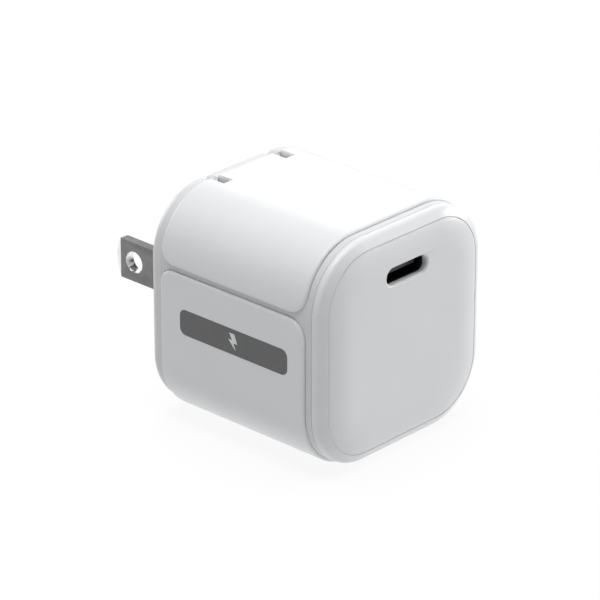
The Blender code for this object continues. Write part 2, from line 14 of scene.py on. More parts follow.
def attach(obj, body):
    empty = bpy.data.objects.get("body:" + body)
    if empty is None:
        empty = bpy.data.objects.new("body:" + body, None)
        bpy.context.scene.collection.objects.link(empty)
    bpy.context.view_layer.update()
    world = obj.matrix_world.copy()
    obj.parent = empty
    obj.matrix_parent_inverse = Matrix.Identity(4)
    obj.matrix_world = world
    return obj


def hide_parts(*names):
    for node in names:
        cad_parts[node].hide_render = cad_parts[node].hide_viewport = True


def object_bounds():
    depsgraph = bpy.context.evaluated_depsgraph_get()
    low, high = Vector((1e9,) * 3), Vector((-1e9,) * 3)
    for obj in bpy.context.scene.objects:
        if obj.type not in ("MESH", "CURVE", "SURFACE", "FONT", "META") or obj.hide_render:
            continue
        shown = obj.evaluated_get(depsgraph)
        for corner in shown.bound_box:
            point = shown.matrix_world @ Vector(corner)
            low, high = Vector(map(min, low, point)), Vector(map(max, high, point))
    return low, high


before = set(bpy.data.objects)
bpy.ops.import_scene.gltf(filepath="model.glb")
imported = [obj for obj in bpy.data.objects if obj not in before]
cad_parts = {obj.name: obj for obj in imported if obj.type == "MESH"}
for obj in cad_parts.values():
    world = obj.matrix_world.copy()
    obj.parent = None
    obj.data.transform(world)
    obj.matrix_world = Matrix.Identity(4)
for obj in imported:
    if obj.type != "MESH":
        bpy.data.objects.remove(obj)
CAD_BOX = [list(corner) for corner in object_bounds()]

MM = 0.001
BODY = "charger_body"
PLUG = "folding_plug"

# Casing, as in the CAD
BODY_WIDTH = 34.6
BODY_HEIGHT = 34.6
BODY_DEPTH = 33.0
MID_Z = BODY_HEIGHT / 2
CORNER_RADIUS = 9.9
SKIN_OUTSET = -0.02
FRAME_INSET = 0.45
WALL_INSET = 2.4
SKIN_FRONT = 2.83
SKIN_REAR = 30.3
GROOVE_LOW = 24.1
GROOVE_HIGH = 24.95
PANEL_INSET = 2.0
PANEL_THICKNESS = 1.6
DOME_RISE = 0.7
DOME_WIDTH = 4.6
BEZEL_DEPTH = 1.75
BEZEL_INSET = 0.5
REAR_FILLET = 1.7
REAR_WALL = 1.5
FIT = 0.12
SPIGOT_INSET = WALL_INSET + FIT
SPIGOT_INNER = SPIGOT_INSET + 0.9
BEZEL_SPIGOT_REAR = 4.6
COVER_SPIGOT_LENGTH = 2.7
SKIN_RADII = {"upper": (3.0, 2.5), "lower": (3.0, 2.2)}  # outline corners, at the front and the rear

# Casing, fine detail
DOME_POWER = 2.2
SKIN_FILLET = 0.42
SKIN_BURIED = 1.0
SKIN_COUNTS = (10, 96, 12)  # steps on a corner, round the body and from front to rear
BED_INSET = 1.08
BED_CLEARANCE = 0.06
SEAM = 0.07  # width of the line round the front panel
SEAM_GROOVE = 0.08  # depth of that line
MOUTH_LIP = 0.36  # radius of the socket mouth's edge
PARTING = 0.005  # half the gap between the bezel and the sleeve
PARTING_EDGE = 0.09  # rounding on both sides of that gap
PARTING_INSET = BEZEL_INSET + 0.11
REAR_PARTING = 0.02  # half the gap between the sleeve and the rear cover

# Plug, as in the CAD
BLADE_SPACING = 12.7
BLADE_THICKNESS = 1.5
BLADE_WIDTH = 6.1
BLADE_EXPOSED = 16.7
BLADE_Z = 16.75
BLADE_HOLE_RADIUS = 1.65
BLADE_HOLE_REACH = 12.8
TIP_BEVEL_REACH = 1.15
TIP_BEVEL_DROP = 0.4
AXIS_RECESS = 1.7
AXIS_DROP = 1.5
AXIS_DEPTH = BODY_DEPTH - AXIS_RECESS
AXIS_Z = BLADE_Z - AXIS_DROP
BARREL_RADIUS = 1.6
BAR_RADIUS = 0.95
SLOT_WIDTH = 1.9
SLOT_DEPTH = 6.65
NOTCH_DEPTH = 5.65
JOURNAL_RADIUS = 1.0
JOURNAL_END = 11.0
TAIL_REACH = 4.0
TAIL_SLOT_WIDTH = 2.3
POCKET_WALL = 0.8
WINDOW_SPAN = (3.9, 9.55)
TOP_CUT = (28, 40)  # heights of a cutter that opens only the top
BLADE_TIP = AXIS_RECESS + BLADE_EXPOSED
HOLE_ALONG = AXIS_RECESS + BLADE_HOLE_REACH
BLADE_BULGE = 0.45
BLADE_CORNER = 0.7
BLADE_BORE_RADIUS = 0.97

# Socket, as in the CAD
SOCKET_Z = 27.43
MOUTH_WIDTH = 8.34
MOUTH_HEIGHT = 2.56
SOCKET_WIDTH = 8.94
SOCKET_HEIGHT = 3.16
SOCKET_SETBACK = 0.35
SOCKET_LENGTH = 7.2
TONGUE_THICKNESS = 0.7
CONTACT_COUNT = 12
CONTACT_PITCH = 0.5
CONTACT_SIZE = (0.26, 4.4, 0.03)

# Printed mark on the left side
MARK_SIZE = (20.6, 3.9)
MARK_CORNER = 1.1
MARK_MIDDLE = (BODY_DEPTH - 16.9, 17.1)
MARK_SPAN = (-17.298, -17.22)  # from just proud of the skin into it
MARK_BOLT = (
    (-0.25, 1.25), (0.75, 1.25), (0.2, 0.25), (0.95, 0.25), (-0.55, -1.35), (-0.1, -0.2), (-0.85, -0.2),
)

# Camera and lights; places of lights are in metres
CAMERA_AZIMUTH = math.radians(-47.005)
CAMERA_ELEVATION = math.radians(24.631)
CAMERA_ROLL = math.radians(0.084)
CAMERA_DISTANCE = 539.1
CAMERA_SHIFT = (-2.229, 0.272)  # to the right and up in the picture
CAMERA_LENS = 228.8
FLOOR_GAP = 0.05  # keeps the floor from touching the underside
LIGHTS = (  # name, place, target, size, power in watts
    ("overhead", (0.05, 0.0, 1.6), (0, 0, 0), (1.5, 1.5), 32.5),
    ("right_fill", (1.3, -0.55, 0.08), (0, 0, 0), (0.8, 0.6), 20),
    ("left_high", (-0.5, 0.1, 1.4), (0, 0, 0), (0.8, 0.6), 5.5),
    ("back_panel", (0.8, 0.75, 0.5), (0, 0, 0.01), (1.1, 0.6), 3.0),
    ("rear_fill", (0.1, 1.3, 0.2), (0, 0, 0), (0.6, 0.6), 4),
)

ORIGIN = Vector((0, BODY_DEPTH, BLADE_Z))
PIVOT = Vector((0, AXIS_DEPTH, AXIS_Z))
SIDES = {"left": -1, "right": 1}
ROUND_STEPS = 30
TURNED_STEPS = 48


# ---------------------------------------------------------------- mesh tools


def make_object(name, mesh, material=None, place=(0, 0, 0)):
    """Makes a piece, or with no material a cutter, at its place in the charger."""
    bmesh.ops.recalc_face_normals(mesh, faces=mesh.faces)
    bmesh.ops.translate(mesh, vec=Vector(place) - ORIGIN, verts=mesh.verts)
    mesh.transform(Matrix.Scale(MM, 4))
    data = bpy.data.meshes.new(name)
    mesh.to_mesh(data)
    mesh.free()
    if material:
        data.materials.append(material)
    piece = bpy.data.objects.new(name, data)
    bpy.context.scene.collection.objects.link(piece)
    return piece


def cutter(mesh, place=(0, 0, 0)):
    return make_object("cutter", mesh, place=place)


def dress(piece, body, replaces, sharp=35):
    """Shades a finished piece and tells the frame what it rides on and replaces."""
    piece.data.shade_smooth()
    piece.data.set_sharp_from_angle(angle=math.radians(sharp))
    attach(piece, body)
    if replaces:
        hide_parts(*replaces)


def combine(piece, operation, helper):
    """Applies a Boolean at once and removes its helper."""
    step = piece.modifiers.new("combine", "BOOLEAN")
    step.operation = operation
    step.solver = "EXACT"
    step.object = helper
    apply_modifiers(piece)
    bpy.data.objects.remove(helper)


def apply_modifiers(piece):
    bpy.context.view_layer.update()
    graph = bpy.context.evaluated_depsgraph_get()
    done = bpy.data.meshes.new_from_object(piece.evaluated_get(graph))
    old = piece.data
    piece.modifiers.clear()
    piece.data = done
    done.name = old.name
    bpy.data.meshes.remove(old)


def soften(piece, width, segments):
    """Rounds the sharp edges of a finished piece."""
    rounding = piece.modifiers.new("soften", "BEVEL")
    rounding.width = width * MM
    rounding.segments = segments
    rounding.limit_method = "ANGLE"
    rounding.angle_limit = math.radians(50)
    rounding.use_clamp_overlap = True
    apply_modifiers(piece)


def loft(rings, wrap=False):
    """Joins rings of points into a closed skin: capped at both ends, or wrapped round to the first ring."""
    mesh = bmesh.new()
    loops = [[mesh.verts.new(point) for point in ring] for ring in rings]
    followers = loops[1:] + loops[:1] if wrap else loops[1:]
    for near, far in zip(loops, followers):
        for k in range(len(near)):
            after = (k + 1) % len(near)
            mesh.faces.new((near[k], near[after], far[after], far[k]))
    if not wrap:
        mesh.faces.new(loops[0])
        mesh.faces.new(loops[-1])
    return mesh


def box_mesh(x, depth, z):
    mesh = bmesh.new()
    bmesh.ops.create_cube(mesh, size=1.0)
    bmesh.ops.scale(mesh, vec=[span[1] - span[0] for span in (x, depth, z)], verts=mesh.verts)
    bmesh.ops.translate(mesh, vec=[sum(span) / 2 for span in (x, depth, z)], verts=mesh.verts)
    return mesh


def rounded_outline(width, height, radius, steps=ROUND_STEPS):
    points = []
    for quarter, (side, level) in enumerate(((1, 1), (-1, 1), (-1, -1), (1, -1))):
        for k in range(steps + 1):
            angle = math.pi / 2 * (quarter + k / steps)
            u = side * (width / 2 - radius) + radius * math.cos(angle)
            v = level * (height / 2 - radius) + radius * math.sin(angle)
            points.append((u, v))
    return points


def body_ring(inset, depth):
    radius = max(CORNER_RADIUS - inset, 2.0)
    outline = rounded_outline(BODY_WIDTH - 2 * inset, BODY_HEIGHT - 2 * inset, radius)
    return [(u, depth, MID_Z + v) for u, v in outline]


def axis_point(axis, along, u, v):
    return {"X": (along, u, v), "Y": (u, along, v), "Z": (u, v, along)}[axis]


def prism_mesh(outline, axis, span):
    return loft([[axis_point(axis, along, u, v) for u, v in outline] for along in span])


def turned_mesh(profile, axis):
    angles = [2 * math.pi * k / TURNED_STEPS for k in range(TURNED_STEPS)]
    rings = []
    for along, radius in profile:
        rings.append([axis_point(axis, along, radius * math.cos(a), radius * math.sin(a)) for a in angles])
    return loft(rings)


# ---------------------------------------------------------------- skins

HALF_FLAT = BODY_WIDTH / 2 - CORNER_RADIUS
QUARTER = CORNER_RADIUS * math.pi / 2
SIDE_FLAT = BODY_HEIGHT - 2 * CORNER_RADIUS
CORNER_Z = BODY_HEIGHT - CORNER_RADIUS
HALF_TURN = HALF_FLAT * 2 + QUARTER * 2 + SIDE_FLAT
UPPER_END = HALF_FLAT + QUARTER - (GROOVE_HIGH - CORNER_Z)
LOWER_END = HALF_FLAT + QUARTER + (CORNER_Z - GROOVE_LOW)


def section_point(along, lift):
    """The body's section at a length round it from the middle of the top, lifted off the surface."""
    side = 1 if along >= 0 else -1
    along = abs(along)
    reach = CORNER_RADIUS + lift
    if along <= HALF_FLAT:
        return side * along, BODY_HEIGHT + lift
    along -= HALF_FLAT
    if along <= QUARTER:
        angle = along / CORNER_RADIUS
        return side * (HALF_FLAT + reach * math.sin(angle)), CORNER_Z + reach * math.cos(angle)
    along -= QUARTER
    if along <= SIDE_FLAT:
        return side * (HALF_FLAT + reach), CORNER_Z - along
    along -= SIDE_FLAT
    if along <= QUARTER:
        angle = along / CORNER_RADIUS
        return side * (HALF_FLAT + reach * math.cos(angle)), CORNER_RADIUS - reach * math.sin(angle)
    along -= QUARTER
    return side * (HALF_FLAT - along), -lift


def skin_paths(span, depth, radii, inset, counts):
    """The skin's outline in (length round the body, depth): front, right, rear and left runs of points."""
    arc_steps, long_steps, deep_steps = counts
    low, high = span[0] + inset, span[1] - inset
    near, far = depth[0] + inset, depth[1] - inset
    front, rear = radii[0] - inset, radii[1] - inset

    def arc(cx, cy, radius, start):
        turns = [math.radians(start + 90 * k / arc_steps) for k in range(arc_steps + 1)]
        return [(cx + radius * math.cos(a), cy + radius * math.sin(a)) for a in turns]

    def run(a, b, steps):
        return [(a[0] + (b[0] - a[0]) * k / steps, a[1] + (b[1] - a[1]) * k / steps) for k in range(1, steps)]

    low_front = arc(low + front, near + front, front, 180)
    high_front = arc(high - front, near + front, front, 270)
    high_rear = arc(high - rear, far - rear, rear, 0)
    low_rear = arc(low + rear, far - rear, rear, 90)
    return (
        low_front + run(low_front[-1], high_front[0], long_steps) + high_front,
        run(high_front[-1], high_rear[0], deep_steps),
        high_rear + run(high_rear[-1], low_rear[0], long_steps) + low_rear,
        run(low_rear[-1], low_front[0], deep_steps),
    )


def skin_mesh(span, radii):
    """A curved cover plate: rounded outline, rounded upper edge, closed underneath."""
    depth = (SKIN_FRONT, SKIN_REAR)
    levels = [(0.0, -SKIN_BURIED), (0.0, -SKIN_FILLET)]
    for k in range(1, 7):
        angle = math.pi / 2 * k / 6
        levels.append((SKIN_FILLET * (1 - math.cos(angle)), SKIN_FILLET * (math.sin(angle) - 1)))
    levels.append((0.75, 0.0))
    mesh = bmesh.new()
    rings = []
    middle = (span[0] + span[1]) / 2

    def place(u, v, lift):
        if middle > 1:
            u = u - 2 * HALF_TURN if u > HALF_TURN else u
        x, z = section_point(u, lift + SKIN_OUTSET)
        return mesh.verts.new((x, v, z))

    for inset, lift in levels:
        runs = skin_paths(span, depth, radii, inset, SKIN_COUNTS)
        rings.append([[place(u, v, lift) for u, v in run] for run in runs])
    flat = [[vert for run in ring for vert in run] for ring in rings]
    for near, far in zip(flat, flat[1:]):
        for k in range(len(near)):
            after = (k + 1) % len(near)
            mesh.faces.new((near[k], near[after], far[after], far[k]))
    for ring, (inset, lift) in ((rings[-1], levels[-1]), (rings[0], levels[0])):
        fill_skin(mesh, ring, place, lift, skin_paths(span, depth, radii, inset, SKIN_COUNTS))
    return mesh


def fill_skin(mesh, ring, place, lift, paths):
    """Closes a skin's outline with rows of four-sided faces from its front edge to its rear edge."""
    front, right, rear, left = ring
    rear_back = rear[::-1]
    deep = len(left) + 1
    columns = []
    for k, (start, end) in enumerate(zip(front, rear_back)):
        if k == 0:
            inner = left[::-1]
        elif k == len(front) - 1:
            inner = right
        else:
            a = paths[0][k]
            b = paths[2][len(front) - 1 - k]
            inner = []
            for step in range(1, deep):
                share = step / deep
                inner.append(place(a[0] + (b[0] - a[0]) * share, a[1] + (b[1] - a[1]) * share, lift))
        columns.append([start, *inner, end])
    for one, two in zip(columns, columns[1:]):
        for k in range(deep):
            mesh.faces.new((one[k], two[k], two[k + 1], one[k + 1]))


def make_skins():
    span = (-UPPER_END, UPPER_END)
    upper = make_object("upper_skin_look", skin_mesh(span, SKIN_RADII["upper"]), WHITE)
    for side in SIDES.values():
        combine(upper, "DIFFERENCE", slot_cutter(side, (BODY_DEPTH - NOTCH_DEPTH, BODY_DEPTH), TOP_CUT))
    paint_light_on_slot_walls(upper)
    dress(upper, BODY, ("upper_skin",))
    span = (LOWER_END, 2 * HALF_TURN - LOWER_END)
    lower = make_object("lower_skin_look", skin_mesh(span, SKIN_RADII["lower"]), WHITE)
    dress(lower, BODY, ("lower_skin",))


def paint_light_on_slot_walls(piece):
    """Gives the side walls of the blade slots and notches a paler copy of the white plastic with some
    subsurface scattering: the light let through is real, the paler colour is painted light on walls that lie
    in shade.
    """
    piece.data.materials.append(NOTCH_WHITE)
    for face in piece.data.polygons:
        from_middle = abs(abs(face.center.x) - BLADE_SPACING / 2 * MM)
        if from_middle < (SLOT_WIDTH / 2 + 0.02) * MM and abs(face.normal.x) > 0.98:
            face.material_index = 1


def slot_cutter(side, depth, z, width=SLOT_WIDTH):
    middle = side * BLADE_SPACING / 2
    return cutter(box_mesh((middle - width / 2, middle + width / 2), depth, z))


# ---------------------------------------------------------------- casing


def make_front_panel():
    wall = PANEL_INSET + 0.01
    face_edge = PANEL_INSET + SEAM
    rings = [body_ring(wall, PANEL_THICKNESS), body_ring(wall, SEAM_GROOVE)]
    for k in range(5):
        angle = math.pi / 2 * k / 5
        inset = face_edge + SEAM_GROOVE * (1 - math.cos(angle))
        rings.append(body_ring(inset, SEAM_GROOVE * (1 - math.sin(angle))))
    for k in range(1, 25):
        share = 0.05 + 0.95 * k / 24
        rise = DOME_RISE * (1 - (1 - share) ** DOME_POWER)
        rings.append(body_ring(face_edge + share * DOME_WIDTH, -rise))
    panel = make_object("front_panel_look", loft(rings), WHITE)
    lip_rear = MOUTH_LIP - DOME_RISE
    levels = [(5, 0), (lip_rear, 0)]
    for k in range(1, 11):
        angle = math.radians(86) * k / 10
        levels.append((lip_rear - MOUTH_LIP * math.sin(angle), MOUTH_LIP * (1 - math.cos(angle))))
    levels.append((-DOME_RISE - 2, levels[-1][1] + 1.2))
    mouth = []
    for depth, grow in levels:
        mouth.append(stadium_ring(MOUTH_WIDTH + 2 * grow, MOUTH_HEIGHT + 2 * grow, depth, steps=16))
    combine(panel, "DIFFERENCE", cutter(loft(mouth)))
    size = (SOCKET_WIDTH + 0.2, SOCKET_HEIGHT + 0.2)
    recess = [stadium_ring(*size, depth) for depth in (SOCKET_SETBACK - 0.1, 5)]
    combine(panel, "DIFFERENCE", cutter(loft(recess)))
    dress(panel, BODY, ("front_panel",), sharp=30)


def make_front_bezel():
    """The section, as (inset, depth), runs from the panel's edge out over the band and back inside."""
    back = BEZEL_DEPTH - PARTING
    ledge = PANEL_THICKNESS + FIT
    profile = [
        (PANEL_INSET, 0.06), (1.98, 0.02), (1.93, 0.02), (1.84, 0.06), (0.98, 0.54),
        (0.80, 0.66), (0.65, 0.83), (0.55, 1.05), (BEZEL_INSET, 1.35),
        (BEZEL_INSET, back - PARTING_EDGE), (PARTING_INSET, back),
        (SPIGOT_INSET, back), (SPIGOT_INSET, BEZEL_SPIGOT_REAR),
        (SPIGOT_INNER, BEZEL_SPIGOT_REAR), (SPIGOT_INNER, ledge), (PANEL_INSET, ledge),
    ]
    mesh = loft([body_ring(*point) for point in profile], wrap=True)
    dress(make_object("front_bezel_look", mesh, WHITE), BODY, ("front_bezel",))


def make_main_sleeve():
    front = BEZEL_DEPTH + PARTING
    rear = SKIN_REAR - REAR_PARTING
    profile = [(PARTING_INSET, front)]
    for k in range(9):
        angle = math.pi / 2 * k / 8
        inset = BEZEL_INSET - (BEZEL_INSET - FRAME_INSET) * math.sin(angle)
        profile.append((inset, front + PARTING_EDGE + 0.7 * (1 - math.cos(angle))))
    profile += [(FRAME_INSET, SKIN_FRONT + 0.1), (FRAME_INSET, rear), (WALL_INSET, rear), (WALL_INSET, front)]
    mesh = loft([body_ring(*point) for point in profile], wrap=True)
    sleeve = make_object("main_sleeve_look", mesh, FRAME_WHITE)
    for name, z in (("upper", (GROOVE_HIGH, BODY_HEIGHT + 10)), ("lower", (-10, GROOVE_LOW))):
        combine(sleeve, "DIFFERENCE", skin_bed(z, SKIN_RADII[name]))
    for side in SIDES.values():
        combine(sleeve, "DIFFERENCE", slot_cutter(side, (BODY_DEPTH - SLOT_DEPTH, BODY_DEPTH), TOP_CUT))
    paint_light_on_slot_walls(sleeve)
    dress(sleeve, BODY, ("main_sleeve",))


def skin_bed(z, radii):
    """A cutter for the bed of a skin: a shell round the body, cut to the skin's outline."""
    near, far = SKIN_FRONT - 1, SKIN_REAR + 2
    section = [(-3, near), (-3, far), (BED_INSET, far), (BED_INSET, near)]
    bed = cutter(loft([body_ring(*point) for point in section], wrap=True))
    runs = skin_paths(z, (SKIN_FRONT, SKIN_REAR), radii, -BED_CLEARANCE, (14, 2, 2))
    outline = [(depth, height) for run in runs for height, depth in run]
    combine(bed, "INTERSECT", cutter(prism_mesh(outline, "X", (-30, 30))))
    return bed


def make_rear_cover():
    front = SKIN_REAR + REAR_PARTING
    inner_face = BODY_DEPTH - REAR_WALL
    lip = SKIN_REAR - COVER_SPIGOT_LENGTH
    profile = [(SPIGOT_INNER, inner_face), (SPIGOT_INNER, lip), (SPIGOT_INSET, lip), (SPIGOT_INSET, front)]
    profile += [(FRAME_INSET + 0.06, front), (FRAME_INSET, front + 0.08)]
    for k in range(15):
        angle = math.pi / 2 * k / 14
        inset = FRAME_INSET + REAR_FILLET * (1 - math.cos(angle))
        profile.append((inset, BODY_DEPTH - REAR_FILLET * (1 - math.sin(angle))))
    mesh = loft([body_ring(*point) for point in profile])
    cover = make_object("rear_cover_look", mesh, FRAME_WHITE)
    pocket_depth = (BODY_DEPTH - SLOT_DEPTH - 0.85, inner_face + 0.4)
    pocket_z = (AXIS_Z + 2.1, 31.5)
    for side in SIDES.values():
        combine(cover, "UNION", slot_cutter(side, pocket_depth, pocket_z, SLOT_WIDTH + 2 * POCKET_WALL))
    slot_depth = (BODY_DEPTH - SLOT_DEPTH, BODY_DEPTH + 1)
    slot_z = (AXIS_Z - 1.8, TOP_CUT[1])
    window_depth = (inner_face - 0.6, BODY_DEPTH + 1)
    window_z = (AXIS_Z - BARREL_RADIUS - 0.2, AXIS_Z + BARREL_RADIUS + 0.2)
    tail_depth = (inner_face - 1, inner_face + 0.65)
    tail_z = (AXIS_Z - TAIL_REACH - 0.4, AXIS_Z - 1.5)
    for side in SIDES.values():
        combine(cover, "DIFFERENCE", slot_cutter(side, slot_depth, slot_z))
        window = sorted(side * x for x in WINDOW_SPAN)
        combine(cover, "DIFFERENCE", cutter(box_mesh(window, window_depth, window_z)))
        combine(cover, "DIFFERENCE", slot_cutter(side, tail_depth, tail_z, TAIL_SLOT_WIDTH))
    clear = BAR_RADIUS + 0.15
    channel = box_mesh((-5, 5), (inner_face - 1, AXIS_DEPTH + clear), (AXIS_Z - clear, AXIS_Z + clear))
    combine(cover, "DIFFERENCE", cutter(channel))
    paint_light_on_slot_walls(cover)
    dress(cover, BODY, ("rear_cover",))


# ---------------------------------------------------------------- plug


def blade_outline(reach):
    """The blade seen from the side, as (along, up) from the hinge axis, cut off at a reach."""
    low = AXIS_DROP - BLADE_WIDTH / 2
    high = AXIS_DROP + BLADE_WIDTH / 2
    corner_at = BLADE_TIP - BLADE_BULGE - BLADE_CORNER
    points = [(0.6, low)]
    for k in range(7):
        angle = math.radians(-90 + 78 * k / 6)
        up = low + BLADE_CORNER * (1 + math.sin(angle))
        points.append((corner_at + BLADE_CORNER * math.cos(angle), up))
    for k in range(1, 16):
        share = k / 8 - 1
        up = AXIS_DROP + share * (BLADE_WIDTH / 2 - BLADE_CORNER)
        points.append((BLADE_TIP - BLADE_BULGE * share**2, up))
    for k in range(7):
        angle = math.radians(12 + 78 * k / 6)
        up = high - BLADE_CORNER * (1 - math.sin(angle))
        points.append((corner_at + BLADE_CORNER * math.cos(angle), up))
    points += [(0.6, high), (0.2, 1.6), (-1.0, 1.25), (-1.5, 0.9), (-TAIL_REACH, 0.9)]
    points += [(-TAIL_REACH, -0.5), (-1.5, -0.5), (-1.0, -1.25)]
    return [(min(along, reach), up) for along, up in points]


def paint_blade_reflections(blade):
    """Gives the tip bevels and the wall of the hole a smoother nickel with a far brighter tone: the
    smoothness is real, the brighter tone is a painted reflection of the pale floor.
    """
    blade.data.materials.append(POLISHED_METAL)
    offset = PIVOT - ORIGIN
    for face in blade.data.polygons:
        along = face.center.y - offset.y * MM
        up = face.center.z - offset.z * MM
        bevel = along > (BLADE_TIP - TIP_BEVEL_REACH + 0.02) * MM
        from_hole = math.hypot(along - HOLE_ALONG * MM, up - AXIS_DROP * MM)
        if bevel or from_hole < (BLADE_HOLE_RADIUS + 0.1) * MM:
            face.material_index = 1


def make_blades():
    half = BLADE_THICKNESS / 2
    core = half - TIP_BEVEL_DROP
    shoulder = BLADE_TIP - TIP_BEVEL_REACH
    levels = ((-half, shoulder), (-core, BLADE_TIP), (core, BLADE_TIP), (half, shoulder))
    rings = [[(x, along, up) for along, up in blade_outline(reach)] for x, reach in levels]
    for label, side in SIDES.items():
        place = PIVOT + Vector((side * BLADE_SPACING / 2, 0, 0))
        blade = make_object(f"{label}_blade_look", loft(rings), BLADE_METAL, place)
        hole = place + Vector((0, HOLE_ALONG, AXIS_DROP))
        for middle, radius in ((hole, BLADE_HOLE_RADIUS), (place, BLADE_BORE_RADIUS)):
            combine(blade, "DIFFERENCE", cutter(turned_mesh([(-2, radius), (2, radius)], "X"), middle))
        soften(blade, 0.16, 3)
        paint_blade_reflections(blade)
        dress(blade, PLUG, (f"{label}_blade",))


def make_carrier():
    """A turned bar with a hub round each blade's seat, journals at its ends and two flats between."""
    chamfer = 0.15
    rim = BARREL_RADIUS - chamfer
    hub = (4.1, 9.4)
    seat = (BLADE_SPACING / 2 - 0.9, BLADE_SPACING / 2 + 0.9)
    seat_radius = 0.85
    half = [
        (0.01, BAR_RADIUS), (hub[0], BAR_RADIUS), (hub[0], rim), (hub[0] + chamfer, BARREL_RADIUS),
        (seat[0] - chamfer, BARREL_RADIUS), (seat[0], rim), (seat[0], seat_radius),
        (seat[1], seat_radius), (seat[1], rim), (seat[1] + chamfer, BARREL_RADIUS),
        (hub[1] - chamfer, BARREL_RADIUS), (hub[1], rim), (hub[1], JOURNAL_RADIUS),
        (JOURNAL_END - chamfer, JOURNAL_RADIUS), (JOURNAL_END, JOURNAL_RADIUS - chamfer),
    ]
    profile = [(-x, radius) for x, radius in reversed(half)] + half
    carrier = make_object("blade_carrier_look", turned_mesh(profile, "X"), CARRIER_PLASTIC, PIVOT)
    flat_span = (-2.9, 2.9)
    flat = 0.7
    combine(carrier, "DIFFERENCE", cutter(box_mesh(flat_span, (-4, -flat), (-4, 4)), PIVOT))
    combine(carrier, "DIFFERENCE", cutter(box_mesh(flat_span, (-4, 4), (flat, 4)), PIVOT))
    dress(carrier, PLUG, ("blade_carrier",))


# ---------------------------------------------------------------- socket


def stadium_ring(width, height, depth, steps=14):
    outline = rounded_outline(width, height, height / 2 - 0.01, steps)
    return [(u, depth, SOCKET_Z + v) for u, v in outline]


def make_usb_socket():
    front = SOCKET_SETBACK
    rear = front + SOCKET_LENGTH
    wall = 0.3
    rolled = 0.12
    inner = (SOCKET_WIDTH - 2 * wall, SOCKET_HEIGHT - 2 * wall)
    rings = [stadium_ring(SOCKET_WIDTH, SOCKET_HEIGHT, depth) for depth in (rear, front + rolled)]
    for k in range(1, 6):
        angle = math.pi * k / 6
        shrink = wall * (1 - math.cos(angle))
        edge = front + rolled * (1 - math.sin(angle))
        rings.append(stadium_ring(SOCKET_WIDTH - shrink, SOCKET_HEIGHT - shrink, edge))
    rings += [stadium_ring(*inner, depth) for depth in (front + rolled, rear)]
    shell = make_object("usb_shell_look", loft(rings, wrap=True), SOCKET_METAL)
    dress(shell, BODY, ("usb_shell",))

    base = (inner[0] - 2 * FIT, inner[1] - 2 * FIT)
    block = loft([stadium_ring(*base, depth) for depth in (rear - 1.6, rear)])
    tongue = make_object("usb_tongue_look", block, SOCKET_PLASTIC)
    half = TONGUE_THICKNESS / 2
    plate = box_mesh((-3.35, 3.35), (front + 0.7, rear - 1), (SOCKET_Z - half, SOCKET_Z + half))
    combine(tongue, "UNION", cutter(plate))
    soften(tongue, 0.1, 2)
    dress(tongue, BODY, ("usb_tongue",))

    size = Matrix.Diagonal((*CONTACT_SIZE, 1))
    for row, level in (("upper", half + 0.005), ("lower", -half - 0.005)):
        mesh = bmesh.new()
        for k in range(CONTACT_COUNT):
            x = (k - (CONTACT_COUNT - 1) / 2) * CONTACT_PITCH
            at = Matrix.Translation((x, front + 3.1, SOCKET_Z + level))
            bmesh.ops.create_cube(mesh, size=1.0, matrix=at @ size)
        dress(make_object(f"usb_contacts_{row}", mesh, CONTACT_GOLD), BODY, ())


# ---------------------------------------------------------------- printed mark


def at_mark(outline):
    return [(u + MARK_MIDDLE[0], v + MARK_MIDDLE[1]) for u, v in outline]


def make_mark():
    """A plain pad-printed bar with a bolt left blank in it. It is generic and stands for no maker."""
    bar = at_mark(rounded_outline(*MARK_SIZE, MARK_CORNER, steps=8))
    mark = make_object("side_mark", prism_mesh(bar, "X", MARK_SPAN), PRINT_INK)
    combine(mark, "DIFFERENCE", cutter(prism_mesh(at_mark(MARK_BOLT), "X", (-19, -15))))
    dress(mark, BODY, ())


# ---------------------------------------------------------------- materials


